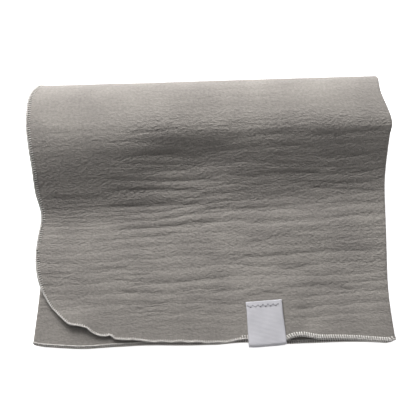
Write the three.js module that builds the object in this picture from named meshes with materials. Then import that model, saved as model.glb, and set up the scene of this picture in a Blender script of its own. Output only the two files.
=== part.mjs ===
// A gauze cloth, folded in three across its width and then doubled over, so that a full round fold
// stands at the back and the hems lie together at the front. A woven label is sewn over the front hem.
// Millimetres: X runs across the cloth, Y from the hems to the round fold, Z up from the table.
import * as THREE from "three";

// The sheet and its layers
const SHEET = 1.1; // one thickness of crinkled double gauze
const LAYER = 1.6; // from the middle of one layer to the middle of the next
const BEND = LAYER / 2; // radius of a flat fold, at the middle of the sheet
const LEAF_LAYERS = 3;
const LOW = SHEET / 2; // middle of the lowest layer
const HIGH = LOW + (2 * LEAF_LAYERS - 1) * LAYER; // middle of the top layer where the cloth lies flat
const TUCK = 9; // how far the inner free edge stops short of the right fold

// The front of the cloth
const FRONT = -92; // where the sections begin, in front of every hem
const FLAT_STEP = 35; // between the first three sections
const FLAT_SECTIONS = 2;
const CORNER_WIDE = 53; // the rounded corner, across
const CORNER_DEEP = 55; // the rounded corner, front to back

// The label
const LABEL = {
  width: 24,
  sheet: 1,
  clear: 0.35,
  x: 37,
  tip: -89.5,
  tail: -60.8,
  turn: 4.8,
  lift: 2,
};

// The path of the outermost layer from the top hem, over the round fold, to the bottom hem:
// how far back it lies and how high, at the left side and at the right side
const SECTIONS = [
  { at: "top hem", yLeft: FRONT, yRight: FRONT, zLeft: HIGH, zRight: HIGH },
  { at: "top leaf", yLeft: -57, yRight: -57, zLeft: HIGH, zRight: HIGH },
  { at: "behind it", yLeft: -22, yRight: -22, zLeft: HIGH, zRight: HIGH },
  { at: "foot", yLeft: -9, yRight: 4, zLeft: 9.4, zRight: 9.9 },
  { at: "slope", yLeft: 9.5, yRight: 19, zLeft: 14.8, zRight: 14 },
  { at: "upper slope", yLeft: 22, yRight: 31, zLeft: 23.2, zRight: 20 },
  { at: "brow", yLeft: 35, yRight: 43, zLeft: 29.6, zRight: 28.8 },
  { at: "crown", yLeft: 49.5, yRight: 53, zLeft: 32.4, zRight: 32.8 },
  { at: "shoulder", yLeft: 68, yRight: 72.5, zLeft: 30.2, zRight: 31 },
  { at: "back", yLeft: 79.4, yRight: 86, zLeft: 22, zRight: 23 },
  { at: "low back", yLeft: 79, yRight: 86.3, zLeft: 11, zRight: 11.5 },
  { at: "heel", yLeft: 69, yRight: 76, zLeft: 2.9, zRight: 3 },
  { at: "floor", yLeft: 55, yRight: 62, zLeft: LOW, zRight: LOW },
  { at: "bottom leaf", yLeft: 30, yRight: 34, zLeft: LOW, zRight: LOW },
  { at: "middle", yLeft: -10, yRight: -8, zLeft: LOW, zRight: LOW },
  { at: "fore", yLeft: -52, yRight: -52, zLeft: LOW, zRight: LOW },
  { at: "bottom hem", yLeft: FRONT, yRight: FRONT, zLeft: LOW, zRight: LOW },
];
const LAST = SECTIONS.length - 1;

// The side edges at each section: the top layer's free hem on the left, the fold under it, and the
// fold on the right
const EDGES = [
  { at: "top hem", hem: -112, under: -110.4, fold: 118.8 },
  { at: "top leaf", hem: -111.4, under: -107.6, fold: 115.3 },
  { at: "behind it", hem: -110, under: -106, fold: 115.3 },
  { at: "foot", hem: -108.4, under: -104.8, fold: 115.3 },
  { at: "slope", hem: -111.8, under: -107.2, fold: 115.2 },
  { at: "upper slope", hem: -112.9, under: -107.8, fold: 115.4 },
  { at: "brow", hem: -114.6, under: -109.2, fold: 115.6 },
  { at: "crown", hem: -116.4, under: -110.8, fold: 116 },
  { at: "shoulder", hem: -116.6, under: -110.8, fold: 111 },
  { at: "back", hem: -111.4, under: -107, fold: 110.8 },
  { at: "low back", hem: -107.5, under: -105, fold: 110.6 },
  { at: "heel", hem: -107, under: -104, fold: 111 },
  { at: "floor", hem: -107, under: -103.6, fold: 112 },
  { at: "bottom leaf", hem: -107, under: -103.4, fold: 112.8 },
  { at: "middle", hem: -107, under: -103.6, fold: 114 },
  { at: "fore", hem: -108.5, under: -106.8, fold: 115 },
  { at: "bottom hem", hem: -110, under: -109.8, fold: 117.6 },
];

// Where the hems lie along the front: the top layer's, then those below it
const FRONT_LINE = [
  { x: -112, top: -84.4, below: -85.8 },
  { x: -109, top: -84.2, below: -88.1 },
  { x: -103, top: -84.1, below: -89 },
  { x: -88, top: -84.4, below: -89.9 },
  { x: -82, top: -82, below: -90.2 },
  { x: -76, top: -81, below: -90.1 },
  { x: -72, top: -82.8, below: -89.9 },
  { x: -61.5, top: -82.5, below: -89 },
  { x: -58, top: -84.8, below: -88.7 },
  { x: -41, top: -85.7, below: -87.8 },
  { x: -34, top: -86.4, below: -87.7 },
  { x: -1, top: -86.9, below: -87.5 },
  { x: 13, top: -86.6, below: -86.5 },
  { x: 20, top: -84.4, below: -85.9 },
  { x: 50, top: -84.4, below: -86.8 },
  { x: 57, top: -82.6, below: -86.5 },
  { x: 61, top: -82.5, below: -86.3 },
  { x: 70, top: -84.1, below: -86 },
  { x: 94, top: -84.5, below: -85.3 },
  { x: 110, top: -85.6, below: -85.8 },
  { x: 118, top: -85, below: -85.2 },
];

// Where all the layers of the top leaf swell out together or sink in: x and the place along the
// sections, how wide and how long the swell is, and how far it stands out
const SWELLS = [
  { at: "dent in the slope", x: -8, t: 5.2, wide: 30, long: 1.2, out: -4.4 },
  { at: "hollow over the crown", x: -38, t: 8, wide: 17, long: 0.8, out: -1 },
  { at: "its end on the brow", x: -12, t: 7.05, wide: 18, long: 0.8, out: -1.2 },
  { at: "full left brow", x: -78, t: 6.2, wide: 26, long: 1, out: 1 },
  { at: "full right crown", x: 66, t: 7.3, wide: 36, long: 1, out: 1.4 },
  { at: "right swell behind", x: 72, t: 2.3, wide: 38, long: 0.5, out: 1.7 },
  { at: "right swell in front", x: 92, t: 0.4, wide: 26, long: 0.4, out: 1.3 },
  { at: "left swell", x: -62, t: 1.6, wide: 40, long: 0.5, out: 1.1 },
  { at: "middle swell", x: -22, t: 0.8, wide: 25, long: 0.45, out: 0.8 },
];

// Where the top layer alone stands off the layers below it: a level top, then a soft fall to nothing
const RISES = [
  { at: "under the label", x: 38, y: -74, levelX: 19, levelY: 22, fall: 17, height: LABEL.lift },
  { at: "beside the label", x: 60, y: -84, levelX: 4, levelY: 1, fall: 14, height: 1.6 },
  { at: "rounded corner", x: -83, y: -75, levelX: 6, levelY: 1, fall: 13, height: 2.6 },
  { at: "left edge", x: -109, y: -34, levelX: 1, levelY: 8, fall: 15, height: 1.8 },
];

// How finely each stretch is cut: rows in each section, columns in each panel
const ROWS = [4, 4, 3, 3, 3, 3, 3, 3, 3, 3, 3, 3, 2, 2, 2, 2];
const COLUMNS = { corner: 7, top: 13, turn: 4, middle: 10, inner: 8, innerCorner: 4 };

const mix = THREE.MathUtils.lerp;
const clamp = THREE.MathUtils.clamp;
const radians = THREE.MathUtils.degToRad;

// A smooth curve through one column of a table, at a place t counted in sections.
// Past either end the table goes on by its last step.
function along(table, column, t) {
  const i = Math.min(Math.floor(t), LAST - 1);
  const value = (n) => {
    if (n < 0) return 2 * table[0][column] - table[1][column];
    if (n > LAST) return 2 * table[LAST][column] - table[LAST - 1][column];
    return table[n][column];
  };
  const s = t - i;
  const [a, b, c, d] = [value(i - 1), value(i), value(i + 1), value(i + 2)];
  const bow = s * (3 * (b - c) + d - a) + 2 * a - 5 * b + 4 * c - d;
  return b + (s * (c - a + s * bow)) / 2;
}

// The front line's value at x, joined by straight steps
function frontLine(column, x) {
  const last = FRONT_LINE.length - 2;
  const after = FRONT_LINE.findIndex((row) => row.x > x) - 1;
  const i = after < 0 ? (x < 0 ? 0 : last) : after;
  const [a, b] = [FRONT_LINE[i], FRONT_LINE[i + 1]];
  return mix(a[column], b[column], clamp((x - a.x) / (b.x - a.x), 0, 1));
}

// How far the rounded corner cuts back an edge, at a distance from the free side
function cornerCut(distance) {
  const inside = clamp(1 - distance / CORNER_WIDE, 0, 1);
  return CORNER_DEEP * (1 - Math.sqrt(1 - inside * inside));
}

// How far all the layers stand out together at x and t
function swell(x, t) {
  const bell = (off, reach) => Math.exp(-((off / reach) ** 2));
  return SWELLS.reduce((sum, s) => sum + s.out * bell(x - s.x, s.wide) * bell(t - s.t, s.long), 0);
}

// The middle of the outermost layer at x and t, and its outward direction
function path(x, t) {
  const share = clamp((x + 112) / 228, 0, 1);
  const between = (left, right, at) =>
    mix(along(SECTIONS, left, at), along(SECTIONS, right, at), share);
  const point = (at) => [
    between("yLeft", "yRight", at),
    Math.max(between("zLeft", "zRight", at), LOW),
  ];
  const step = 0.05;
  const [y, z] = point(t);
  const [y0, z0] = point(Math.max(t - step, 0));
  const [y1, z1] = point(Math.min(t + step, LAST));
  const length = Math.hypot(y1 - y0, z1 - z0);
  const [outY, outZ] = [-(z1 - z0) / length, (y1 - y0) / length];
  const out = swell(x, t);
  return { y: y + out * outY, z: z + out * outZ, outY, outZ };
}

// How high the top layer stands off at x and y
function rise(x, y) {
  const heights = RISES.map((r) => {
    const off = Math.hypot(
      Math.max(Math.abs(x - r.x) - r.levelX, 0),
      Math.max(Math.abs(y - r.y) - r.levelY, 0),
    );
    return r.height * THREE.MathUtils.smoothstep(1 - off / r.fall, 0, 1);
  });
  return Math.max(...heights);
}

// The columns across the folded cloth, from the free left edge to the free inner edge.
// share runs across the panel, turn is the angle round a flat fold, free is the distance to a free side.
function columns() {
  const wide = EDGES[1].fold - EDGES[1].hem;
  const made = [];
  for (let k = 0; k < COLUMNS.corner; k++) {
    const free = CORNER_WIDE * (1 - Math.cos((k / COLUMNS.corner) * (Math.PI / 2)));
    made.push({ panel: "top", share: free / wide, free, layer: 0 });
  }
  for (let k = 0; k < COLUMNS.top; k++) {
    const free = mix(CORNER_WIDE, wide, k / COLUMNS.top);
    made.push({ panel: "top", share: free / wide, free, layer: 0 });
  }
  for (let k = 0; k <= COLUMNS.turn; k++) {
    const turn = (k / COLUMNS.turn) * Math.PI;
    made.push({ panel: "right turn", turn, free: wide, layer: (1 - Math.cos(turn)) / 2 });
  }
  for (let k = 1; k < COLUMNS.middle; k++) {
    made.push({ panel: "middle", share: k / COLUMNS.middle, free: wide, layer: 1 });
  }
  for (let k = 0; k <= COLUMNS.turn; k++) {
    const turn = (k / COLUMNS.turn) * Math.PI;
    made.push({ panel: "left turn", turn, free: wide, layer: 1 + (1 - Math.cos(turn)) / 2 });
  }
  for (let k = 1; k <= COLUMNS.inner; k++) {
    const free = mix(wide, CORNER_WIDE, k / COLUMNS.inner);
    made.push({ panel: "inner", share: 1 - free / wide, free, layer: 2 });
  }
  for (let k = COLUMNS.innerCorner - 1; k >= 0; k--) {
    const free = CORNER_WIDE * (1 - Math.cos((k / COLUMNS.innerCorner) * (Math.PI / 2)));
    made.push({ panel: "inner", share: 1 - free / wide, free, layer: 2 });
  }
  return made;
}

// Where a column lies across the cloth
function across(column, t) {
  const [hem, under, fold] = ["hem", "under", "fold"].map((name) => along(EDGES, name, t));
  const [left, right] = [under + BEND, fold - BEND];
  if (column.panel === "top") return mix(hem, right, column.share);
  if (column.panel === "right turn") return right + BEND * Math.sin(column.turn);
  if (column.panel === "middle") return mix(right, left, column.share);
  if (column.panel === "left turn") return left - BEND * Math.sin(column.turn);
  return mix(left, right - TUCK, column.share);
}

// The middle of the sheet at a column and a row, the rows being squeezed up to the hems
function middle(column, row) {
  const guess = across(column, row);
  const line = mix(frontLine("top", guess), frontLine("below", guess), Math.min(column.layer, 1));
  const cut = cornerCut(column.free);
  const start = (line + cut - FRONT) / FLAT_STEP;
  const end = (frontLine("below", guess) + cut - FRONT) / (SECTIONS[LAST - 1].yLeft - FRONT);
  let t = row;
  if (row < FLAT_SECTIONS) t = start + (row * (FLAT_SECTIONS - start)) / FLAT_SECTIONS;
  if (row > LAST - FLAT_SECTIONS) {
    t = LAST - end - ((LAST - row) * (FLAT_SECTIONS - end)) / FLAT_SECTIONS;
  }
  const x = across(column, t);
  const { y, z, outY, outZ } = path(x, t);
  const deep = column.layer * LAYER;
  const raised = t < FLAT_SECTIONS + 2 ? rise(x, y) * clamp(1 - column.layer, 0, 1) : 0;
  return new THREE.Vector3(x, y - deep * outY, z - deep * outZ + raised);
}

// A closed solid round a grid of points, half a thickness to each side of it
function thicken(grid, thickness) {
  const [wide, long] = [grid.length, grid[0].length];
  const at = (i, j) => grid[clamp(i, 0, wide - 1)][clamp(j, 0, long - 1)];
  const positions = [];
  const index = [];
  const sides = [thickness / 2, -thickness / 2];
  for (const side of sides) {
    for (let i = 0; i < wide; i++) {
      for (let j = 0; j < long; j++) {
        const acrossGrid = at(i + 1, j).clone().sub(at(i - 1, j));
        const alongGrid = at(i, j + 1).clone().sub(at(i, j - 1));
        const normal = acrossGrid.cross(alongGrid).normalize();
        positions.push(...normal.multiplyScalar(side).add(grid[i][j]));
      }
    }
  }
  const vertex = (side, i, j) => side * wide * long + i * long + j;
  const quad = (a, b, c, d) => index.push(a, b, c, a, c, d);
  for (let i = 0; i + 1 < wide; i++) {
    for (let j = 0; j + 1 < long; j++) {
      quad(vertex(0, i, j), vertex(0, i + 1, j), vertex(0, i + 1, j + 1), vertex(0, i, j + 1));
      quad(vertex(1, i, j), vertex(1, i, j + 1), vertex(1, i + 1, j + 1), vertex(1, i + 1, j));
    }
    quad(vertex(0, i, 0), vertex(1, i, 0), vertex(1, i + 1, 0), vertex(0, i + 1, 0));
    const j = long - 1;
    quad(vertex(0, i, j), vertex(0, i + 1, j), vertex(1, i + 1, j), vertex(1, i, j));
  }
  for (let j = 0; j + 1 < long; j++) {
    quad(vertex(0, 0, j), vertex(0, 0, j + 1), vertex(1, 0, j + 1), vertex(1, 0, j));
    const i = wide - 1;
    quad(vertex(0, i, j), vertex(1, i, j), vertex(1, i, j + 1), vertex(0, i, j + 1));
  }
  const geometry = new THREE.BufferGeometry();
  geometry.setAttribute("position", new THREE.Float32BufferAttribute(positions, 3));
  geometry.setIndex(index);
  geometry.computeVertexNormals();
  return geometry;
}

// The cloth: every layer is one sheet, so it is one solid
function clothGeometry() {
  const rows = ROWS.flatMap((count, section) =>
    Array.from({ length: count }, (_, k) => section + k / count),
  );
  rows.push(LAST);
  return thicken(
    columns().map((column) => rows.map((row) => middle(column, row))),
    SHEET,
  );
}

// The label: one strip folded round the top layer's hem, with a leaf above the hem and a leaf below it
function labelGeometry() {
  const inner = SHEET / 2 + LABEL.clear;
  const outer = inner + LABEL.sheet;
  const bendAt = outer; // from the tip to the middle of the bend
  const length = LABEL.tail - LABEL.tip;
  const side = new THREE.Shape();
  side.moveTo(length, outer);
  side.lineTo(bendAt, outer);
  side.absarc(bendAt, 0, outer, Math.PI / 2, (3 * Math.PI) / 2, false);
  side.lineTo(length, -outer);
  side.lineTo(length, -inner);
  side.lineTo(bendAt, -inner);
  side.absarc(bendAt, 0, inner, (3 * Math.PI) / 2, Math.PI / 2, true);
  side.lineTo(length, inner);
  side.closePath();
  const strip = new THREE.ExtrudeGeometry(side, {
    depth: LABEL.width,
    bevelEnabled: false,
    curveSegments: 8,
  });
  strip.translate(0, 0, -LABEL.width / 2);
  const [ahead, up, aside] = [
    new THREE.Vector3(0, 1, 0),
    new THREE.Vector3(0, 0, 1),
    new THREE.Vector3(1, 0, 0),
  ];
  return strip.applyMatrix4(new THREE.Matrix4().makeBasis(ahead, up, aside));
}

const gauze = new THREE.MeshStandardMaterial({ color: 0x8c8781, roughness: 0.95, metalness: 0 });
const satin = new THREE.MeshStandardMaterial({ color: 0xd3d1d6, roughness: 0.5, metalness: 0 });

const cloth = new THREE.Mesh(clothGeometry(), gauze);
cloth.name = "cloth";

const label = new THREE.Mesh(labelGeometry(), satin);
label.name = "label";
label.position.set(LABEL.x, LABEL.tip, HIGH + LABEL.lift);
label.rotation.z = radians(LABEL.turn);

const folded = new THREE.Group();
folded.add(cloth, label);

// The origin is on the table, under the middle of the whole
const box = new THREE.Box3().setFromObject(folded);
folded.position.set(-(box.min.x + box.max.x) / 2, -(box.min.y + box.max.y) / 2, -box.min.z);

export default folded;
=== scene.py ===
import math

import bmesh
import bpy
import numpy as np
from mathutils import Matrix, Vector, noise


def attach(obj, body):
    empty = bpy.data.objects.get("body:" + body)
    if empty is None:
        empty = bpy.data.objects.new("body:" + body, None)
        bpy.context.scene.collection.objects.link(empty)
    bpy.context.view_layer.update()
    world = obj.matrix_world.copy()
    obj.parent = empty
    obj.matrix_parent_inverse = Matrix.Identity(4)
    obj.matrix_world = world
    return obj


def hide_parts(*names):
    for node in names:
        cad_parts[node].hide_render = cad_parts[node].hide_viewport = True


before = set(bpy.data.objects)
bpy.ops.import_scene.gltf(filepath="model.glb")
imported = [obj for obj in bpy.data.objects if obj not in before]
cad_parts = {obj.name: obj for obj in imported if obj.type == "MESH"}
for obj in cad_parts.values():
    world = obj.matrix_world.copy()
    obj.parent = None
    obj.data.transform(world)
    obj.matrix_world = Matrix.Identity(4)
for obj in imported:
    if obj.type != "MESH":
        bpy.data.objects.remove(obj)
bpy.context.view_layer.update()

MM = 0.001

# The sheet and its layers
SHEET = 1.1  # thickness
LAYER = 1.6  # from the middle of one layer to the next
BEND = LAYER / 2
LOW = SHEET / 2
HIGH = LOW + 5 * LAYER
TUCK = 9  # from the right fold to the inner free edge
FRONT = -92  # where the path below begins and ends, a little in front of the hems
FLAT_SECTIONS = 2  # at both ends of the path: they lie flat and take up the shape of the hems
CORNER_WIDE = 53  # the rounding of the sheet's corners, from its side
CORNER_DEEP = 55  # and from its hem
LEFT_SIDE = -112
SIDE_TO_SIDE = 228
OFFSET = np.array([-0.804, 1.337, 0])  # from the places in these tables to the frame's origin

# The label
LABEL_WIDE = 24
LABEL_X = 37.5  # the middle of its tip
LABEL_TIP = -89.5
LABEL_TAIL = -60.8  # its upper end
LABEL_TURN = math.radians(4.5)
LABEL_LIFT = 2  # how far the top layer is lifted where the label goes round it
LABEL_OUTER = 1.9  # the radius of the bend at the tip
LABEL_MIDDLE = -74  # the middle and half the length of the cloth pressed flat under it
LABEL_HALF = 14

# The outermost layer's path from the top hem, over the round fold, to the bottom hem. A place
# along it is counted in these rows, so the foot of the slope is at 3 and the crown at 7.
# y left, y right, z left, z right
SECTIONS = {
    "top hem": (FRONT, FRONT, HIGH, HIGH),
    "top leaf": (-57, -57, HIGH, HIGH),
    "behind it": (-22, -22, HIGH, HIGH),
    "foot": (-5.5, 6, 9.3, 9.9),
    "slope": (8.5, 19.5, 15.7, 13.1),
    "upper slope": (22, 31, 24, 19.2),
    "brow": (35, 43, 30.1, 27.5),
    "crown": (49.5, 53, 32.8, 31.9),
    "shoulder": (68, 72.5, 30.2, 30),
    "back": (79.4, 86, 22, 23),
    "low back": (79, 86.3, 11, 11.5),
    "heel": (69, 76, 2.9, 3),
    "floor": (55, 62, LOW, LOW),
    "bottom leaf": (30, 34, LOW, LOW),
    "middle": (-10, -8, LOW, LOW),
    "fore": (-52, -52, LOW, LOW),
    "bottom hem": (FRONT, FRONT, LOW, LOW),
}
LAST = len(SECTIONS) - 1

# The side edges at each section: x of the free hem, of the fold under it, and of the right fold
EDGES = {
    "top hem": (-112, -110.4, 118.4),
    "top leaf": (-111.8, -107.6, 115),
    "behind it": (-110, -106, 115.3),
    "foot": (-108.4, -104.8, 115.6),
    "slope": (-111.6, -107.2, 115.6),
    "upper slope": (-112.6, -107.8, 116),
    "brow": (-114.2, -109.2, 116.6),
    "crown": (-115.8, -110.8, 117.4),
    "shoulder": (-115.7, -110.8, 112),
    "back": (-111.4, -107, 112),
    "low back": (-107.5, -105, 110.6),
    "heel": (-107, -104, 111),
    "floor": (-107, -103.6, 112),
    "bottom leaf": (-107, -103.4, 112.8),
    "middle": (-107, -103.6, 114),
    "fore": (-108.5, -106.8, 115),
    "bottom hem": (-110, -109.8, 117.6),
}

# Where the hems lie along the front: x, the top layer's, those below it
FRONT_LINE = [
    (-112, -84.4, -85.8),
    (-109.5, -84.3, -88),
    (-105, -84, -88.9),
    (-98.5, -84.3, -89.3),
    (-95, -83.9, -89.5),
    (-91, -84, -89.8),
    (-88, -84.5, -89.9),
    (-86, -83.9, -90.1),
    (-82, -81.9, -90.2),
    (-78, -80.9, -90.2),
    (-76, -80.9, -90.1),
    (-74, -82.4, -90),
    (-72, -82.8, -89.9),
    (-69, -83.5, -89.6),
    (-66, -83.6, -89.4),
    (-64, -83.2, -89.2),
    (-61.5, -82.3, -89),
    (-60.3, -83, -88.9),
    (-59, -84.6, -88.8),
    (-53, -85.1, -88.5),
    (-46, -85, -88),
    (-41, -85.7, -87.8),
    (-34, -86.6, -87.7),
    (-29, -86.1, -87.7),
    (-23.5, -86.7, -87.8),
    (-17, -86.1, -87.8),
    (-11.5, -86.7, -87.8),
    (-7, -86.2, -87.7),
    (-1, -87.1, -87.5),
    (7, -86.6, -87.3),
    (13, -86.8, -86.5),
    (18.5, -85.4, -85.9),
    (24, -84.6, -85.9),
    (50, -85, -86.8),
    (53, -83.5, -86.7),
    (57, -82.6, -86.5),
    (61, -82.4, -86.3),
    (65.5, -83.3, -86.2),
    (70.5, -84.2, -86),
    (85, -84.2, -85.4),
    (94, -84.5, -85.3),
    (103, -85.2, -85.4),
    (110.5, -85.7, -85.8),
    (115.5, -86, -86.1),
    (118, -84.6, -84.8),
]

# Where all the layers of the top leaf swell out together: x, place along the sections, how wide,
# how long, how far out
SWELLS = {
    "dent in the slope": (-10, 5.25, 29, 1.15, -5.8),
    "hollow over the crown": (-38, 8, 17, 0.8, -1),
    "its end on the brow": (-12, 7.05, 18, 0.8, -1.2),
    "full left brow": (-78, 6.2, 26, 1, 1),
    "full right crown": (66, 7.3, 36, 1, 1.4),
    "right swell behind": (72, 2.3, 38, 0.5, 2.2),
    "right swell in front": (92, 0.4, 26, 0.4, 1.3),
    "left swell": (-62, 1.6, 40, 0.5, 1.1),
    "middle swell": (-22, 0.8, 25, 0.45, 0.8),
}

# Where the top layer alone stands off: x, y, level across, level along, fall, height
RISES = {
    "under the label": (38, -74, 15, 20, 15, LABEL_LIFT),
    "beside the label": (60, -84, 4, 1, 14, 1.6),
    "rounded corner": (-83, -75, 6, 1, 13, 1.6),
    "left edge": (-109, -34, 1, 8, 15, 1.1),
}

# The creases that show most, each a sharp trough from its left end to its right end:
# x left, y left, x right, y right, sag of its middle, depth
CREASES = [
    # the slope, left of the middle
    (-71, 29.7, -42, 30.1, 0.5, 0.54),
    (-62, 27.1, -21, 33.4, -1, 0.7),
    (-56, 26.5, 5, 28.8, 1, 0.78),
    (-50, 21.2, -6, 23.6, -0.8, 0.78),
    (-65, 17.1, 5, 17.7, 0.8, 0.93),
    (-66, 10.1, -5, 10.5, -0.8, 1.1),
    (-102, 5.2, -63, 7.1, 0.6, 0.85),
    (-66, 0.3, -5, 3.5, 1.2, 1.1),
    (-107, 44.5, -81, 44.4, 0.4, 0.39),
    # the slope, right of the middle
    (11, 48.6, 56, 53.5, -0.8, 0.45),
    (67, 43.5, 112, 47.5, 1, 0.8),
    (-2, 38.5, 22, 41.3, 0.4, 0.4),
    (32, 44.5, 57, 46.4, 0.4, 0.45),
    (-2, 35.3, 37, 35.2, -0.6, 0.5),
    (38, 36.3, 75, 37.9, 0.5, 0.5),
    (75, 39.1, 110, 40.5, 0.4, 0.45),
    (-2, 29.4, 67, 27.9, 1, 0.55),
    (75, 31.8, 111, 32, -0.6, 0.5),
    (17, 18.9, 73, 22.3, -1, 0.9),
    (79, 25.6, 109, 23.5, 0.5, 0.5),
    (10, 14.1, 44, 16.4, 0.5, 0.5),
    (47, 17, 112, 17.2, 1, 0.55),
    (-2, 8.6, 39, 8.6, -0.7, 0.55),
    (39, 9.2, 63, 11.6, 0.4, 0.5),
    (67, 12.3, 110, 11.2, -0.9, 0.85),
    (-2, -0.9, 58, 2.2, 0.9, 0.6),
    (58, 2.2, 112, 3.6, -0.6, 0.6),
    # the flat leaf, left
    (-102, -10.1, -76, -10.1, 0.5, 0.4),
    (-74, -8.1, -50, -8.1, -0.4, 0.45),
    (-59, -14.1, 5, -9.5, 1, 0.85),
    (-73, -22.7, -21, -18.7, -0.9, 0.55),
    (-79, -28.7, -27, -24.7, 0.8, 0.5),
    (-25, -24.7, 5, -22, 0.4, 0.5),
    (-84, -40.3, -33, -37.1, 1, 0.5),
    (-94, -36.5, -65, -33.9, 0.5, 0.4),
    (-34, -33.8, 5, -30.5, -0.7, 0.5),
    (-35, -49.3, 4, -46.7, 0.8, 0.5),
    (-56, -55.1, -45, -55.1, 0.3, 0.8),
    (-24, -59.6, 4, -59.5, -0.5, 0.45),
    (-44, -64.6, -1, -64.6, 0.6, 0.45),
    (-52, -64.6, -39, -67.7, 0.3, 0.4),
    (-84, -72.9, -78, -70.4, 0.2, 0.35),
    # the flat leaf, right
    (33, -9.6, 110, -3, 1.2, 0.6),
    (27, -22.7, 69, -19.6, -0.9, 0.85),
    (50, -14.3, 110, -14.9, 0.8, 0.55),
    (-2, -33.8, 65, -29.3, 1.1, 0.85),
    (65, -29.3, 109, -28.6, -0.8, 0.85),
    (46, -40.3, 66, -38.3, 0.4, 0.85),
    (91, -39, 109, -38.9, 0.4, 0.6),
    (-2, -46.7, 52, -45.6, 0.9, 0.55),
    (42, -53.3, 65, -51.3, 0.4, 0.7),
    (65, -51.3, 92, -54.4, -0.5, 0.85),
    (-2, -53.8, 22, -54, 0.4, 0.5),
    (24, -57.8, 48, -55.2, 0.4, 0.8),
    (-2, -63.3, 22, -63.5, 0.4, 0.45),
    (51, -65.4, 65, -65.3, 0.3, 0.5),
]
CREASE_DEEP = 0.6
CREASE_WIDE = 0.7
CREASE_SHOULDER = 2.4
CREASE_FADE = 8  # how long its ends run out
CREASES_END = 9.2  # the last place along the sections that has any

# The puffs between creases, counted down the sheet
PUFF = 7  # the length of one
SECOND_PUFF = 1.15  # how much longer those of the second family are
PUFF_HEIGHT = 0.11
INNER_SHARE = 0.4  # how much of its crinkles a hidden layer keeps
TABLE_SHARE = 0.35  # and how much the layer on the table does
TABLE_GAP = 0.3  # how far it is drawn in, to stay off the table
TABLE_PLACE = 10  # where along the sections this begins
TABLE_FADE = 1.2

# Rows of the sheet's grid in each section, and columns in each panel
ROWS = [47, 46, 36, 26, 22, 18, 16, 14, 12, 8, 6, 6, 6, 8, 8, 8]
COLUMNS = {"corner": 28, "top": 90, "turn": 6, "middle": 24, "inner": 10, "inner corner": 6}

# The photograph's camera: over the front of the cloth, looking down at 77 degrees
IMAGE_WIDE = 416
CAMERA_AIM = (-0.8, 1.3, 9)
CAMERA_AWAY = 480
CAMERA_TILT = math.radians(77)
MM_PER_PIXEL = 0.655  # at the height of the cloth's top


def linear(hex_colour):
    """An sRGB hex colour as linear red, green, blue and alpha."""
    parts = [int(hex_colour[i : i + 2], 16) / 255 for i in (1, 3, 5)]
    return [c / 12.92 if c <= 0.04045 else ((c + 0.055) / 1.055) ** 2.4 for c in parts] + [1]


def smooth(x):
    x = np.clip(x, 0, 1)
    return x * x * (3 - 2 * x)


def step(place, start, length):
    """0 up to the start, then a smooth rise of the given length to 1."""
    return smooth((place - start) / length)


def off_rectangle(x, y, half_wide, half_long):
    """How far a point lies outside a rectangle round the origin."""
    return np.hypot(np.maximum(abs(x) - half_wide, 0), np.maximum(abs(y) - half_long, 0))


def along(table, column, t):
    """A smooth curve through one column of a table, at places t counted in its rows."""
    value = np.array([row[column] for row in table.values()], float)
    value = np.concatenate([[2 * value[0] - value[1]], value, [2 * value[-1] - value[-2]]])
    t = np.asarray(t, float)
    i = np.clip(np.floor(t).astype(int), 0, LAST - 1)
    s = t - i
    a, b, c, d = (value[i + n] for n in range(4))
    bow = s * (3 * (b - c) + d - a) + 2 * a - 5 * b + 4 * c - d
    return b + s * (c - a + s * bow) / 2


def front_line(column, x):
    """Where a hem lies along the front, from one column of the table."""
    line = np.array(FRONT_LINE, float)
    return np.interp(x, line[:, 0], line[:, column])


def corner_cut(distance):
    """How far a rounded corner draws the hem back, at a distance from the free side."""
    inside = np.clip(1 - distance / CORNER_WIDE, 0, 1)
    return CORNER_DEEP * (1 - np.sqrt(1 - inside**2))


def path(x, t):
    """The middle of the outermost layer and its outward direction: y, z, out y, out z."""
    share = np.clip((x - LEFT_SIDE) / SIDE_TO_SIDE, 0, 1)

    def point(at):
        y = along(SECTIONS, 0, at) * (1 - share) + along(SECTIONS, 1, at) * share
        z = along(SECTIONS, 2, at) * (1 - share) + along(SECTIONS, 3, at) * share
        return y, np.maximum(z, LOW)

    reach = 0.05
    y, z = point(t)
    y0, z0 = point(np.maximum(t - reach, 0))
    y1, z1 = point(np.minimum(t + reach, LAST))
    length = np.hypot(y1 - y0, z1 - z0)
    out_y, out_z = -(z1 - z0) / length, (y1 - y0) / length
    out = sum(
        far * np.exp(-(((x - sx) / wide) ** 2) - ((t - st) / long) ** 2)
        for sx, st, wide, long, far in SWELLS.values()
    )
    return y + out * out_y, z + out * out_z, out_y, out_z


def rise(x, y):
    """How far the top layer alone stands off the next one."""
    heights = [
        height * smooth(1 - off_rectangle(x - rise_x, y - rise_y, level_x, level_y) / fall)
        for rise_x, rise_y, level_x, level_y, fall, height in RISES.values()
    ]
    return np.max(heights, axis=0)


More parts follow.
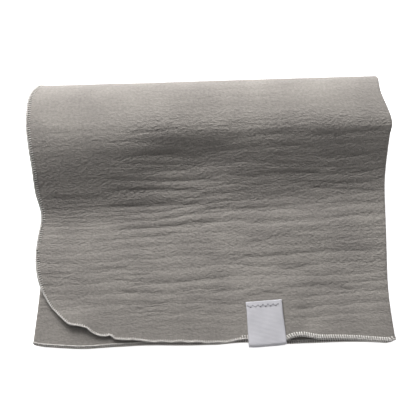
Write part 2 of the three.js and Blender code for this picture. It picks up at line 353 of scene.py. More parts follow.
def columns():
    """The grid's columns from the free left edge to the free inner edge: panel, share across it,
    angle round a flat fold, distance to a free side, layer, and place across the flat sheet."""
    wide = EDGES["top leaf"][2] - EDGES["top leaf"][0]
    bend = math.pi * BEND
    made = []

    def lay(panel, share, turn, free, layer, flat):
        made.append(dict(panel=panel, share=share, turn=turn, free=free, layer=layer, flat=flat))

    for k in range(COLUMNS["corner"]):
        free = CORNER_WIDE * (1 - math.cos(k / COLUMNS["corner"] * math.pi / 2))
        lay("top", free / wide, 0, free, 0, free)
    for k in range(COLUMNS["top"]):
        free = CORNER_WIDE + (wide - CORNER_WIDE) * k / COLUMNS["top"]
        lay("top", free / wide, 0, free, 0, free)
    for k in range(COLUMNS["turn"] + 1):
        turn = k / COLUMNS["turn"] * math.pi
        lay("right turn", 0, turn, wide, (1 - math.cos(turn)) / 2, wide + BEND * turn)
    for k in range(1, COLUMNS["middle"]):
        share = 1 - (1 - k / COLUMNS["middle"]) ** 1.5
        lay("middle", share, 0, wide, 1, wide + bend + share * wide)
    for k in range(COLUMNS["turn"] + 1):
        turn = k / COLUMNS["turn"] * math.pi
        lay("left turn", 0, turn, wide, 1 + (1 - math.cos(turn)) / 2, 2 * wide + bend + BEND * turn)
    for k in range(1, COLUMNS["inner"] + 1):
        free = wide + (CORNER_WIDE - wide) * k / COLUMNS["inner"]
        lay("inner", 1 - free / wide, 0, free, 2, 3 * wide + 2 * bend - free)
    for k in reversed(range(COLUMNS["inner corner"])):
        free = CORNER_WIDE * (1 - math.cos(k / COLUMNS["inner corner"] * math.pi / 2))
        lay("inner", 1 - free / wide, 0, free, 2, 3 * wide + 2 * bend - free)
    return made


def across(column, t):
    """The x of a column at places along the sections."""
    hem, under, fold = (along(EDGES, c, t) for c in range(3))
    left, right = under + BEND, fold - BEND
    share = column["share"]
    if column["panel"] == "top":
        return hem + (right - hem) * share
    if column["panel"] == "right turn":
        return right + BEND * math.sin(column["turn"])
    if column["panel"] == "middle":
        return right + (left - right) * share
    if column["panel"] == "left turn":
        return left - BEND * math.sin(column["turn"])
    return left + (right - TUCK - left) * share


def lay_column(column, rows):
    """The middle of the sheet down one column: its points, and its places along the sections."""
    guess = across(column, rows)
    layer = column["layer"]
    top, below = front_line(1, guess), front_line(2, guess)
    line = top + (below - top) * min(layer, 1)
    cut = corner_cut(column["free"])
    start = (line + cut - FRONT) / (SECTIONS["top leaf"][0] - FRONT)
    end = (below + cut - FRONT) / (SECTIONS["fore"][0] - FRONT)
    t = rows.copy()
    first = rows < FLAT_SECTIONS
    t[first] = (start + rows * (FLAT_SECTIONS - start) / FLAT_SECTIONS)[first]
    last = rows > LAST - FLAT_SECTIONS
    t[last] = (LAST - end - (LAST - rows) * (FLAT_SECTIONS - end) / FLAT_SECTIONS)[last]
    x = across(column, t)
    y, z, out_y, out_z = path(x, t)
    deep = layer * LAYER
    raised = np.where(t < FLAT_SECTIONS + 2, rise(x, y), 0) * max(1 - layer, 0)
    return np.stack([x, y - deep * out_y, z - deep * out_z + raised], axis=-1), t


def grid_normals(grid):
    normal = np.cross(np.gradient(grid, axis=0), np.gradient(grid, axis=1))
    return normal / np.linalg.norm(normal, axis=-1, keepdims=True)


def waver(u, s, wide, long, seed):
    """Smooth noise with spots of a given width and length."""
    value = [
        noise.noise(Vector((a / wide, b / long, seed))) for a, b in zip(u.ravel(), s.ravel())
    ]
    return np.array(value).reshape(u.shape)


def arc(turns):
    """A round puff for each whole turn, with a sharp trough between one and the next."""
    return 1 - (2 * (turns % 1) - 1) ** 2


def puff_families(flat_x, flat_y):
    """Two families of puffs, each counted in turns from the top hem, how far the second one shows,
    and the ripple that both share with the long creases."""
    ripple = 0.9 * waver(flat_x, flat_y, 7, 7, 8.4) + 0.6 * waver(flat_x, flat_y, 3.4, 5, 2.2)
    drift = 6 * waver(flat_x, flat_y, 70, 40, 3.1) + 1.6 * waver(flat_x, flat_y, 22, 12, 6.6)
    first = (flat_y - 0.04 * flat_x + drift + ripple) / PUFF
    drift = 7 * waver(flat_x, flat_y, 50, 34, 12.7) + 2 * waver(flat_x, flat_y, 18, 12, 16.2)
    second = (flat_y + 0.01 * flat_x + 3 + drift + ripple) / PUFF / SECOND_PUFF
    shown = smooth(0.45 + 1.8 * waver(flat_x, flat_y, 30, 14, 21.3))
    return first, second, shown, ripple


def long_creases(x, y, ripple):
    """The depth of the creases in the table at each point."""
    troughs = np.zeros_like(x)
    for x0, y0, x1, y1, sag, depth in CREASES:
        place = np.clip((x - x0) / (x1 - x0), 0, 1)
        line = y0 + (y1 - y0) * place - sag * np.sin(math.pi * place) + ripple
        begun = step(x, x0 - CREASE_FADE / 2, CREASE_FADE)
        ended = step(x, x1 - CREASE_FADE / 2, CREASE_FADE)
        off = np.abs(y - line)
        trough = 0.6 * np.exp(-off / CREASE_WIDE) + 0.4 * np.exp(-((off / CREASE_SHOULDER) ** 2))
        troughs = np.maximum(troughs, depth * begun * (1 - ended) * trough)
    return troughs


def crinkle_depths(flat_x, flat_y, x, y, t):
    """The relief of the puffs and the strength of the fine creases at each point. Both are calm near
    the front and over the bright round fold. The relief is in patches and lower at the left. The
    fine creases are strongest on the slope, most of all at its left."""
    front = 1 - step(t, 0.8, 1.4)
    left = smooth((-35 - x) / 40)
    slope = step(t, 3, 0.8)
    left_slope = left * slope * (1 - step(t, 4.8, 0.8))
    left_brow = left * step(t, 5.2, 0.6)
    behind = 1 - step(t, 8.8, 0.9)
    over_crown = step(t, 6.3 - 1.2 * left, 1.1) * behind
    relief = 0.7 + 0.9 * smooth(0.5 + 1.6 * waver(flat_x, flat_y, 55, 26, 30.9))
    relief = relief * (1 - 0.22 * front) * (1 - 0.12 * step(t, 3.6, 0.8)) * (1 - 0.75 * over_crown)
    relief = relief * (1 - left * (0.22 + 0.12 * step(t, 4, 1.5)))
    fine = 0.9 + 0.3 * slope * (1 - step(t, 7, 0.8)) + 0.5 * left_slope
    fine = fine * (1 + 0.2 * step(t, 4.2, 0.6) - 0.3 * step(t, 6, 0.6))
    fine = fine * (1 - 0.38 * front) * (1 - 0.5 * left_brow) * (1 - 0.5 * step(t, 6.9, 0.8) * behind)

    # Flatter close to the top hem, and pressed flat under the label
    top_leaf = t < 2.5
    from_hem = smooth((y - front_line(1, x) - 3) / 12)
    from_label = smooth(off_rectangle(x - LABEL_X, y - LABEL_MIDDLE, LABEL_WIDE / 2, LABEL_HALF) / 4)
    relief = np.where(top_leaf, relief * (0.3 + 0.7 * from_hem) * (0.15 + 0.85 * from_label), relief)
    fine = np.where(top_leaf, fine * (0.6 + 0.4 * from_hem), fine)
    return relief, fine


def crinkle(flat_x, flat_y, plan, t, layer):
    """The crinkled surface's height over the smooth sheet, and what the gauze's material reads: the
    two families of puffs with how far the second one shows, and the three depths."""
    x, y = plan[..., 0], plan[..., 1]
    first, second, shown, ripple = puff_families(flat_x, flat_y)
    puffs = np.minimum(arc(first), 1 - shown * (1 - arc(second)))
    seen = (layer < 0.5) & (t < CREASES_END)
    troughs = np.where(seen, long_creases(x, y, ripple), 0)
    relief, fine = crinkle_depths(flat_x, flat_y, x, y, t)
    height = PUFF_HEIGHT * puffs * relief - CREASE_DEEP * troughs * (0.4 + 0.6 * relief)
    families = np.stack([first, second, shown], axis=-1)
    # The third depth, the long troughs, also darkens the gauze's colour as painted shade.
    depths = np.stack([relief, fine, np.clip(troughs, 0, 1)], axis=-1)
    return height, families, depths


def grid_object(name, points, values=None):
    """A sheet of quads through a grid of points in metres, made from one bmesh grid, with values
    of its own at each point."""
    wide, long = points.shape[0] - 1, points.shape[1] - 1
    bm = bmesh.new()
    bmesh.ops.create_grid(bm, x_segments=wide, y_segments=long, size=0.5)
    mesh = bpy.data.meshes.new(name)
    bm.to_mesh(mesh)
    bm.free()
    flat = np.empty(len(mesh.vertices) * 3, np.float32)
    mesh.vertices.foreach_get("co", flat)
    flat = flat.reshape(-1, 3)
    i = np.rint((flat[:, 0] + 0.5) * wide).astype(int)
    j = np.rint((flat[:, 1] + 0.5) * long).astype(int)
    mesh.vertices.foreach_set("co", points[i, j].astype(np.float32).ravel())
    for key, value in (values or {}).items():
        vector = value.ndim == 3
        store = mesh.attributes.new(key, "FLOAT_VECTOR" if vector else "FLOAT", "POINT")
        store.data.foreach_set("vector" if vector else "value", value[i, j].astype(np.float32).ravel())
    for polygon in mesh.polygons:
        polygon.use_smooth = True
    thing = bpy.data.objects.new(name, mesh)
    bpy.context.collection.objects.link(thing)
    return thing


def tube_template(spine, radius, sides):
    """A closed tube along a few points in millimetres, as a mesh."""
    spine = np.array(spine, float)
    heading = np.gradient(spine, axis=0)
    heading /= np.linalg.norm(heading, axis=1, keepdims=True)
    bm = bmesh.new()
    bmesh.ops.create_grid(bm, x_segments=sides, y_segments=len(spine) - 1, size=0.5)
    for vertex in bm.verts:
        angle = (vertex.co.x + 0.5) * 2 * math.pi
        j = round((vertex.co.y + 0.5) * (len(spine) - 1))
        ahead = Vector(heading[j])
        side = ahead.cross(Vector((1, 0, 0))).normalized()
        other = ahead.cross(side)
        around = side * math.cos(angle) + other * math.sin(angle)
        vertex.co = Vector(spine[j]) + around * radius
    bmesh.ops.remove_doubles(bm, verts=bm.verts, dist=radius / 50)
    bmesh.ops.holes_fill(bm, edges=bm.edges, sides=0)
    bmesh.ops.recalc_face_normals(bm, faces=bm.faces)
    mesh = bpy.data.meshes.new("template")
    bm.to_mesh(mesh)
    bm.free()
    return mesh


def scatter(name, template, places):
    """Copies of a template at many places, each a 3 by 4 array: three directions and a point."""
    bm = bmesh.new()
    for _ in places:
        bm.from_mesh(template)
    mesh = bpy.data.meshes.new(name)
    bm.to_mesh(mesh)
    bm.free()
    shape = np.array([v.co for v in template.vertices])
    moved = np.einsum("nij,vi->nvj", places[:, :3], shape) + places[:, 3][:, None, :]
    mesh.vertices.foreach_set("co", (moved * MM).astype(np.float32).ravel())
    for polygon in mesh.polygons:
        polygon.use_smooth = True
    thing = bpy.data.objects.new(name, mesh)
    bpy.context.collection.objects.link(thing)
    return thing


def lay_cloth():
    """The smooth folded sheet first, then its crinkles: the cloth, its grid and each point's layer."""
    laid_columns = columns()
    rows = np.concatenate([s + np.arange(n) / n for s, n in enumerate(ROWS)] + [[LAST]])
    laid = [lay_column(column, rows) for column in laid_columns]
    plain = np.array([points for points, _ in laid])
    t = np.array([places for _, places in laid])
    layers = np.array([column["layer"] for column in laid_columns])[:, None] + 0 * t
    flat_x = np.array([column["flat"] for column in laid_columns])[:, None] + 0 * t
    fine_t = np.linspace(0, LAST, 1601)
    fine_y, fine_z, _, _ = path(0 * fine_t, fine_t)
    fine_s = np.concatenate([[0], np.cumsum(np.hypot(np.diff(fine_y), np.diff(fine_z)))])
    flat_y = np.interp(t, fine_t, fine_s)

    height, families, depths = crinkle(flat_x, flat_y, plain, t, layers)
    outer = layers < 0.5
    on_table = step(t, TABLE_PLACE, TABLE_FADE)
    height = np.where(outer, height, INNER_SHARE * height)
    height = height * (1 - on_table) + (TABLE_SHARE * height - TABLE_GAP) * on_table * outer
    crinkled = plain + grid_normals(plain) * height[..., None] + OFFSET
    place = np.stack([flat_x, flat_y, 0 * flat_x], axis=-1) * MM
    values = {"flat_place": place, "puffs": families, "depths": depths}
    sheet = grid_object("crinkled_cloth", crinkled * MM, values)
    solidify = sheet.modifiers.new("sheet", "SOLIDIFY")
    solidify.thickness = SHEET * MM
    solidify.offset = 0
    return sheet, crinkled, layers


cloth, cloth_grid, cloth_layers = lay_cloth()

# The hem: the edge all round is rolled into a slim bead and bound by overlock loops
EDGE_REACH = 0.6  # how far to both sides the edge's direction is measured
HEM_RADIUS = 0.9
UNDER_HEM_RADIUS = 0.75
HEM_INSET = 0.3
HEM_SIDES = 10
HEM_STEP = 0.8
STITCH = 1.45
CHAIN_RADIUS = 0.5
CHAIN_HEIGHT = 0.74
CHAIN_STEP = 0.65
CHAIN_SIDES = 6
LOOP_RADIUS = 0.24
RIGHT_LOOPS_WIDE = 2  # how much wider the loops lie along the front right of the label
LEFT_LOOPS_REACH = 0.6  # and how much shorter they are left of it


def edge_loop(grid, normal, layer):
    """The sheet's whole edge as one closed line: points, tangents, outward directions, normals."""
    sides = [
        (grid[:-1, 0], grid[:-1, 1], normal[:-1, 0], layer[:-1, 0]),
        (grid[-1, :-1], grid[-2, :-1], normal[-1, :-1], layer[-1, :-1]),
        (grid[:0:-1, -1], grid[:0:-1, -2], normal[:0:-1, -1], layer[:0:-1, -1]),
        (grid[0, :0:-1], grid[1, :0:-1], normal[0, :0:-1], layer[0, :0:-1]),
    ]
    edge, inner, up, depth_in = (np.concatenate([side[k] for side in sides]) for k in range(4))
    length = np.concatenate([[0], np.cumsum(np.linalg.norm(np.diff(edge, axis=0), axis=1))])
    total = length[-1] + np.linalg.norm(edge[0] - edge[-1])

    def at(s):
        def pick(value):
            closed = np.concatenate([value, value[:1]])
            spots = np.concatenate([length, [total]])
            if closed.ndim == 1:
                return np.interp(s % total, spots, closed)
            return np.stack([np.interp(s % total, spots, closed[:, k]) for k in range(3)], -1)

        return pick(edge), pick(inner), pick(up), pick(depth_in)

    def frame_at(s):
        point, inside, up_here, layer_here = at(s)
        tangent = at(s + EDGE_REACH)[0] - at(s - EDGE_REACH)[0]
        tangent /= np.linalg.norm(tangent, axis=1, keepdims=True)
        up_here = up_here - tangent * (up_here * tangent).sum(1, keepdims=True)
        up_here /= np.linalg.norm(up_here, axis=1, keepdims=True)
        outward = np.cross(tangent, up_here)
        facing = np.sign(((point - inside) * outward).sum(1, keepdims=True))
        return point, tangent, outward * facing, up_here, layer_here

    return frame_at, total


edge_frames, edge_total = edge_loop(cloth_grid, grid_normals(cloth_grid), cloth_layers)


def hem_radius(layer):
    """The hidden layers have a slimmer hem."""
    return HEM_RADIUS + (UNDER_HEM_RADIUS - HEM_RADIUS) * np.clip(layer, 0, 1)


def closed_round(name, points):
    """A ring-shaped tube from a grid whose two ends and two sides meet."""
    tube = grid_object(name, points * MM)
    bm = bmesh.new()
    bm.from_mesh(tube.data)
    bmesh.ops.remove_doubles(bm, verts=bm.verts, dist=0.01 * MM)
    bmesh.ops.recalc_face_normals(bm, faces=bm.faces)
    bm.to_mesh(tube.data)
    bm.free()
    return tube


def ring(radius, sides, outward, up):
    """Circles round a line: one row of points for each place along it."""
    angles = np.arange(sides + 1)[None, :, None] / sides * 2 * math.pi
    circle = np.cos(angles) * outward[:, None] + np.sin(angles) * up[:, None]
    return radius[:, None, None] * circle


def hem_bead():
    """The rolled edge itself, a slim tube all round the sheet."""
    count = int(edge_total / HEM_STEP)
    s = np.arange(count + 1) * edge_total / count
    point, _, outward, up, layer = edge_frames(s)
    middle = point - HEM_INSET * outward
    return closed_round("rolled_hem", middle[:, None] + ring(hem_radius(layer), HEM_SIDES, outward, up))


def looper_chain():
    """The interlocked looper threads, a fine knobbly cord along the top of the rolled edge."""
    count = int(edge_total / CHAIN_STEP)
    s = np.arange(count + 1) * edge_total / count
    point, _, outward, up, layer = edge_frames(s)
    beat = 2 * math.pi * s / STITCH

    # One knob for each stitch. Along the front it is uneven too, fuller at the rounded corner and
    # slimmer right of the label.
    x, y, _ = (point - OFFSET).T
    front = (1 - np.clip(layer, 0, 1)) * smooth((-40 - y) / 12)
    full = 0.05 * smooth((-30 - x) / 25) - 0.16 * step(x, 48, 8)
    uneven = 0.06 * np.sin(s / 2.3) * np.sin(s / 5.1)
    radius = CHAIN_RADIUS + 0.09 * np.cos(beat) + front * (full + uneven)

    # The sheet's middle panel lies face down, so there the cord is on its back, the side that shows
    turned = smooth(1 - abs(layer - 1))
    face = np.cos(math.pi * turned)[:, None] * up + np.sin(math.pi * turned)[:, None] * outward
    inset = 0.2 + 1.1 * turned - 0.08 * np.sin(beat)
    scale = (hem_radius(layer) / HEM_RADIUS)[:, None]
    middle = point - inset[:, None] * outward * scale + CHAIN_HEIGHT * face * scale
    return closed_round("looper_thread", middle[:, None] + ring(radius, CHAIN_SIDES, outward, up))


def overlock_loops():
    """Each loop crosses the bead on a slant, from the needle line on top round to the one below."""
    r = HEM_RADIUS
    spine = [
        (-0.3, -2.3, 0.6),
        (-0.25, -1.4, 0.74),
        (-0.1, -0.5, r + 0.04),
        (0.05, 0.35, 0.72),
        (0.15, 0.64, -0.1),
        (0.25, 0.1, -r + 0.05),
        (0.3, -1.8, -0.6),
    ]
    template = tube_template(spine, LOOP_RADIUS, 5)
    count = int(edge_total / STITCH)
    s = np.arange(count) * edge_total / count
    point, tangent, outward, up, layer = edge_frames(s)
    x, y, _ = point.T
    top = layer < 0.5
    wide = np.where(top & (x > 48) & (y < -60), RIGHT_LOOPS_WIDE, 1)[:, None]
    reach = np.where(top & (x < 20) & (y < -50), LEFT_LOOPS_REACH, 1)[:, None]
    scale = (hem_radius(layer) / HEM_RADIUS)[:, None]
    places = np.stack([tangent * wide, outward * scale * reach, up * scale, point], axis=1)
    return scatter("overlock_thread", template, places)


hem = hem_bead()
chain = looper_chain()
loops = overlock_loops()

# The label: a ribbon folded round the front hem, its tip standing out past it as a round bend
LABEL_SHEET = 0.45
LABEL_ROWS = 90
LABEL_COLUMNS = 26
ZIGZAG_COUNT = 12
ZIGZAG_STEP = 1.6
ZIGZAG_DEEP = 1.15
ZIGZAG_RADIUS = 0.17
ZIGZAG_FROM_TAIL = 3
ZIGZAG_FROM_SIDE = 1.6


def label_place(w, d, h):
    """A point of the label: w across it, d back from its tip, h above the cloth's middle."""
    turn_x = w * math.cos(LABEL_TURN) - d * math.sin(LABEL_TURN)
    turn_y = w * math.sin(LABEL_TURN) + d * math.cos(LABEL_TURN)
    return np.stack([LABEL_X + turn_x, LABEL_TIP + turn_y, HIGH + LABEL_LIFT + h], -1) + OFFSET


def label_strip():
    """The ribbon, from its upper end down to the bend and back underneath."""
    long = LABEL_TAIL - LABEL_TIP
    r = LABEL_OUTER - LABEL_SHEET / 2
    bend = math.pi * r
    flat = long - LABEL_OUTER
    total = 2 * flat + bend
    s = np.linspace(0, total, LABEL_ROWS + 1)[None, :]
    w = np.linspace(-LABEL_WIDE / 2, LABEL_WIDE / 2, LABEL_COLUMNS + 1)[:, None]
    round_bend = np.clip((s - flat) / bend, 0, 1) * math.pi
    back = np.where(s < flat, long - s, LABEL_OUTER - r * np.sin(round_bend))
    back = np.where(s > flat + bend, LABEL_OUTER + s - flat - bend, back)
    high = r * np.cos(round_bend)
    # The leaf lies a little wavy and its edges curl down. The corners of the tip are rounded, and
    # the ribbon is a little narrower towards its upper end.
    edge = np.abs(w) / (LABEL_WIDE / 2)
    on_top = smooth((flat - s) / 6)
    wave = 0.18 * np.sin(w / 3.4 + 0.8) * np.sin(back / 6.5) - 0.25 * edge**4
    high = high + on_top * wave + 0 * w
    back = back + (0.5 * edge**6) * smooth((8 - back) / 8) + 0 * w
    wide = w * (0.985 - 0.03 * np.clip(back / (long - 4), 0, 1) + 0.008 * np.sin(back / 4.5)) + 0 * s
    points = label_place(wide, back, high)
    place = np.stack([w + 0 * s, s + 0 * w, 0 * s + 0 * w], -1) * MM
    strip = grid_object("woven_label", points[:, ::-1] * MM, {"flat_place": place[:, ::-1]})
    modifier = strip.modifiers.new("ribbon", "SOLIDIFY")
    modifier.thickness = LABEL_SHEET * MM
    modifier.offset = 0
    return strip


def label_stitches():
    """One row of zigzag stitches close to the label's upper end."""
    half = ZIGZAG_STEP / 2
    spine = [(-half - 0.25, 0, 0), (-half, 0, 0.22), (half, 0, 0.22), (half + 0.25, 0, 0)]
    template = tube_template(spine, ZIGZAG_RADIUS, 6)
    back = LABEL_TAIL - LABEL_TIP - ZIGZAG_FROM_TAIL
    slant = math.atan2(ZIGZAG_DEEP, ZIGZAG_STEP)
    stretch = math.hypot(ZIGZAG_DEEP, ZIGZAG_STEP) / ZIGZAG_STEP
    places = []
    for n in range(ZIGZAG_COUNT):
        w = ZIGZAG_FROM_SIDE - LABEL_WIDE / 2 + (n + 0.5) * ZIGZAG_STEP
        lean = (slant if n % 2 else -slant) + LABEL_TURN
        ahead = np.array([math.cos(lean), math.sin(lean), 0]) * stretch
        aside = np.array([-math.sin(lean), math.cos(lean), 0])
        point = label_place(np.array(w), np.array(back), np.array(LABEL_OUTER - 0.05))
        places.append([ahead, aside, np.array([0, 0, 1]), point])
    return scatter("label_stitches", template, np.array(places))


label = label_strip()
label_thread = label_stitches()


# Materials
def add(tree, kind, settings=None, links=None):
    """A node with its settings and sockets set and its links made."""
    node = tree.nodes.new(kind)
    for key, value in (settings or {}).items():
        if isinstance(key, int) or key in node.inputs:
            node.inputs[key].default_value = value
        else:
            setattr(node, key, value)
    for key, output in (links or {}).items():
        tree.links.new(output, node.inputs[key])
    return node


def new_material(name):
    material = bpy.data.materials.new(name)
    material.use_nodes = True
    tree = material.node_tree
    tree.nodes.clear()
    return material, tree


def gauze_material():
    """Crinkled double gauze of washed cotton: matt and softly fuzzy, with a fine open weave."""
    material, tree = new_material("washed double gauze, warm grey cotton")
    read = {}
    for name in ("flat_place", "depths", "puffs"):
        read[name] = add(tree, "ShaderNodeAttribute", {"attribute_name": name}).outputs["Vector"]
    depths = add(tree, "ShaderNodeSeparateXYZ", {}, {"Vector": read["depths"]}).outputs
    puffs = add(tree, "ShaderNodeSeparateXYZ", {}, {"Vector": read["puffs"]}).outputs
    value = {"relief": depths[0], "fine": depths[1], "trough": depths[2]}
    value.update({"first": puffs[0], "second": puffs[1], "shown": puffs[2]})

    # Soft spots: millimetres wide and long, detail, roughness. Threads 0.45 mm apart would not
    # show, so the weave's slubs are drawn about 1.5 mm apart.
    for name, wide, long, detail, roughness in (
        ("jags", 2.6, 2.2, 2, 0.55),
        ("slubs", 1.7, 1.5, 3, 0.65),
        ("crepe", 5, 2.6, 2, 0.55),
        ("cloud", 26, 26, 4, 0.55),
    ):
        scale = (1 / MM / wide, 1 / MM / long, 1)
        spot = add(tree, "ShaderNodeMapping", {"Scale": scale}, {"Vector": read["flat_place"]})
        settings = {"Scale": 1, "Detail": detail, "Roughness": roughness}
        noise_node = add(tree, "ShaderNodeTexNoise", settings, {"Vector": spot.outputs["Vector"]})
        value[name] = noise_node.outputs["Fac"]

    # The sums, each of numbers and of values named before it. A hollow is 0 on top of a puff and
    # 1 in the trough between two. The height is in tenths of a millimetre.
    for name, operation, *terms in (
        ("first jagged", "MULTIPLY_ADD", "jags", 0.4, "first"),
        ("first part", "FRACT", "first jagged"),
        ("first swing", "MULTIPLY_ADD", "first part", 2, -1),
        ("first hollow", "MULTIPLY", "first swing", "first swing"),
        ("second jagged", "MULTIPLY_ADD", "jags", 0.4, "second"),
        ("second part", "FRACT", "second jagged"),
        ("second swing", "MULTIPLY_ADD", "second part", 2, -1),
        ("second all over", "MULTIPLY", "second swing", "second swing"),
        ("second hollow", "MULTIPLY", "second all over", "shown"),
        ("creased", "MAXIMUM", "first hollow", "second hollow"),
        ("fold", "MULTIPLY", "creased", "relief"),
        ("crepe swing", "SUBTRACT", "crepe", 0.5),
        ("crepe ridge", "ABSOLUTE", "crepe swing"),
        ("crepe high", "MULTIPLY", "crepe ridge", 12),
        ("grain", "MULTIPLY_ADD", "slubs", 6, "crepe high"),
        ("grain high", "MULTIPLY", "grain", "fine"),
        ("height", "MULTIPLY_ADD", "fold", -3, "grain high"),
        # The last four sums are painted shade: they darken the colour along the creases and the long
        # troughs.
        ("painted crease line", "POWER", "creased", 14),
        ("painted crease shade", "MULTIPLY", "painted crease line", "relief"),
        ("painted trough shade", "MULTIPLY", "trough", 0.3),
        ("shade", "MULTIPLY_ADD", "painted crease shade", 0.32, "painted trough shade"),
    ):
        numbers = {k: term for k, term in enumerate(terms) if not isinstance(term, str)}
        links = {k: value[term] for k, term in enumerate(terms) if isinstance(term, str)}
        value[name] = add(tree, "ShaderNodeMath", {"operation": operation, **numbers}, links).outputs[0]

    bump_settings = {"Strength": 1, "Distance": 0.1 * MM}
    bump = add(tree, "ShaderNodeBump", bump_settings, {"Height": value["height"]})
    colour = {}
    for name, by, low, low_colour, high, high_colour in (
        ("tone", "cloud", 0.36, "#8f8a85", 0.66, "#99948e"),
        ("fleck", "slubs", 0.3, "#dcdcdc", 0.7, "#ffffff"),
    ):
        ramp = add(tree, "ShaderNodeValToRGB", {}, {"Fac": value[by]})
        ends = ((low, low_colour), (high, high_colour))
        for stop, (position, shade) in zip(ramp.color_ramp.elements, ends):
            stop.position = position
            stop.color = linear(shade)
        colour[name] = ramp.outputs["Color"]
    woven = add(
        tree,
        "ShaderNodeMix",
        {"data_type": "RGBA", "blend_type": "MULTIPLY", 0: 1},
        {6: colour["tone"], 7: colour["fleck"]},
    )
    # Painted shade: the woven colour is drawn towards a dark grey in the creases and troughs.
    painted_shade_mix = add(
        tree,
        "ShaderNodeMix",
        {"data_type": "RGBA", "clamp_factor": True, 7: linear("#4f4c49")},
        {0: value["shade"], 6: woven.outputs[2]},
    )
    shader = add(
        tree,
        "ShaderNodeBsdfPrincipled",
        {"Roughness": 0.95, "Sheen Weight": 0.15, "Sheen Roughness": 0.6, "Specular IOR Level": 0.2},
        {"Base Color": painted_shade_mix.outputs[2], "Normal": bump.outputs["Normal"]},
    )
    add(tree, "ShaderNodeOutputMaterial", {}, {"Surface": shader.outputs["BSDF"]})
    return material


def thread_material(name, light, dark):
    """Spun polyester sewing thread: pale, matt, with a fine twist that the light picks out."""
    material, tree = new_material(name)
    place = add(tree, "ShaderNodeTexCoord").outputs["Object"]
    twist = add(tree, "ShaderNodeTexNoise", {"Scale": 900, "Detail": 3}, {"Vector": place})
    tone = add(tree, "ShaderNodeValToRGB", {}, {"Fac": twist.outputs["Fac"]})
    for stop, (position, shade) in zip(tone.color_ramp.elements, ((0.35, dark), (0.65, light))):
        stop.position = position
        stop.color = linear(shade)
    bump_settings = {"Strength": 0.4, "Distance": 0.2 * MM}
    bump = add(tree, "ShaderNodeBump", bump_settings, {"Height": twist.outputs["Fac"]})
    shader = add(
        tree,
        "ShaderNodeBsdfPrincipled",
        {"Roughness": 0.7, "Specular IOR Level": 0.3},
        {"Base Color": tone.outputs["Color"], "Normal": bump.outputs["Normal"]},
    )
    add(tree, "ShaderNodeOutputMaterial", {}, {"Surface": shader.outputs["BSDF"]})
    return material


def satin_material():
    """Woven satin label ribbon: cool white, smooth, with a faint sheen along fine cross threads."""
    material, tree = new_material("woven satin ribbon, cool white polyester")
    place = add(tree, "ShaderNodeAttribute", {"attribute_name": "flat_place"}).outputs["Vector"]
    # Weft threads 0.25 mm apart would not show, so they are drawn 0.8 mm apart
    threads = 2 * math.pi / 0.8 / MM / 20
    weft = add(
        tree,
        "ShaderNodeTexWave",
        {"bands_direction": "Y", "Scale": threads, "Distortion": 1.2, "Detail": 2},
        {"Vector": place},
    )
    cloudy = add(tree, "ShaderNodeTexNoise", {"Scale": 120, "Detail": 3}, {"Vector": place})
    tone = add(tree, "ShaderNodeValToRGB", {}, {"Fac": cloudy.outputs["Fac"]})
    for stop, (position, shade) in zip(tone.color_ramp.elements, ((0.3, "#c2c1c6"), (0.7, "#cbc9ce"))):
        stop.position = position
        stop.color = linear(shade)
    bump_settings = {"Strength": 0.25, "Distance": 0.2 * MM}
    bump = add(tree, "ShaderNodeBump", bump_settings, {"Height": weft.outputs["Fac"]})
    shader = add(
        tree,
        "ShaderNodeBsdfPrincipled",
        {"Roughness": 0.45, "Specular IOR Level": 0.4, "Sheen Weight": 0.1},
        {"Base Color": tone.outputs["Color"], "Normal": bump.outputs["Normal"]},
    )
    add(tree, "ShaderNodeOutputMaterial", {}, {"Surface": shader.outputs["BSDF"]})
    return material


def floor_material():
    """A bright even backdrop with a soft shadow."""
    material, tree = new_material("matt white backdrop")
    glow = {"Emission Color": linear("#ffffff"), "Emission Strength": 0.88}
    settings = {"Base Color": linear("#f4f4f4"), "Roughness": 1, **glow}
    shader = add(tree, "ShaderNodeBsdfPrincipled", settings)
    add(tree, "ShaderNodeOutputMaterial", {}, {"Surface": shader.outputs["BSDF"]})
    return material


cloth.data.materials.append(gauze_material())
# The rolled edge is the gauze's own colour darkened further: painted shade on the bead's front side.
hem.data.materials.append(thread_material("rolled gauze edge, gauze colour darkened as painted shade", "#7f7a75", "#6f6b66"))
loops.data.materials.append(thread_material("overlock thread, pale grey", "#dcd9d5", "#c9c5c0"))
chain.data.materials.append(thread_material("looper thread, light grey", "#cbc7c3", "#9f9b97"))
label.data.materials.append(satin_material())
label_thread.data.materials.append(thread_material("sewing thread, mid grey", "#95949a", "#7b7b81"))

# How the pieces belong to the part
for slot, pieces in (("gauze", (cloth, hem, chain, loops)), ("satin", (label, label_thread))):
    for piece in pieces:
        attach(piece, "root")
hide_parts("cloth")
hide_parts("label")


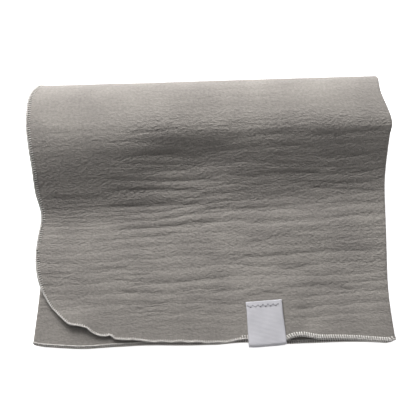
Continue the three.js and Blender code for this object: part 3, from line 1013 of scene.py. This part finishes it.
# The room: a pale floor and a dim even sky, a window light behind and left of the cloth, a low one
# that only reaches the round fold, a weak one overhead and a very weak one in front.
# Lamps: name, direction, distance, width and height in metres, watts
LAMPS = [
    ("window", (-0.28, 0.95, 0.7), 0.82, 0.6, 0.46, 10.5),
    ("front fill", (0.55, -0.8, 0.45), 0.7, 0.5, 0.4, 0.25),
    ("low window", (0.4, 0.95, 0.14), 1.3, 0.8, 0.1, 4),
    ("overhead", (-0.45, 0.35, 0.8), 0.9, 0.7, 0.7, 2),
]


def room():
    """The floor, the sky and the lamps."""
    bm = bmesh.new()
    bmesh.ops.create_grid(bm, x_segments=1, y_segments=1, size=3)
    mesh = bpy.data.meshes.new("floor")
    bm.to_mesh(mesh)
    bm.free()
    floor = bpy.data.objects.new("floor", mesh)
    bpy.context.collection.objects.link(floor)
    floor.data.materials.append(floor_material())

    world = bpy.data.worlds.new("even sky")
    world.use_nodes = True
    world.node_tree.nodes["Background"].inputs["Color"].default_value = linear("#f3f5f8")
    world.node_tree.nodes["Background"].inputs["Strength"].default_value = 0.11
    bpy.context.scene.world = world

    for name, towards, away, wide, high, energy in LAMPS:
        light = bpy.data.lights.new(name, "AREA")
        light.shape = "RECTANGLE"
        light.size = wide
        light.size_y = high
        light.energy = energy
        lamp = bpy.data.objects.new(name, light)
        bpy.context.collection.objects.link(lamp)
        towards = Vector(towards).normalized()
        lamp.location = towards * away
        lamp.rotation_euler = towards.to_track_quat("Z", "Y").to_euler()


def photograph_camera():
    """A camera that spans the image's width at the height of the cloth's top."""
    camera = bpy.data.cameras.new("camera")
    camera.sensor_width = 36
    camera.lens = camera.sensor_width * CAMERA_AWAY / (MM_PER_PIXEL * IMAGE_WIDE)
    seat = bpy.data.objects.new("camera", camera)
    bpy.context.collection.objects.link(seat)
    back = Vector((0, -math.cos(CAMERA_TILT), math.sin(CAMERA_TILT)))
    seat.location = (Vector(CAMERA_AIM) + back * CAMERA_AWAY) * MM
    seat.rotation_euler = back.to_track_quat("Z", "Y").to_euler()
    bpy.context.scene.camera = seat


room()
photograph_camera()
bpy.context.scene.view_settings.view_transform = "Standard"
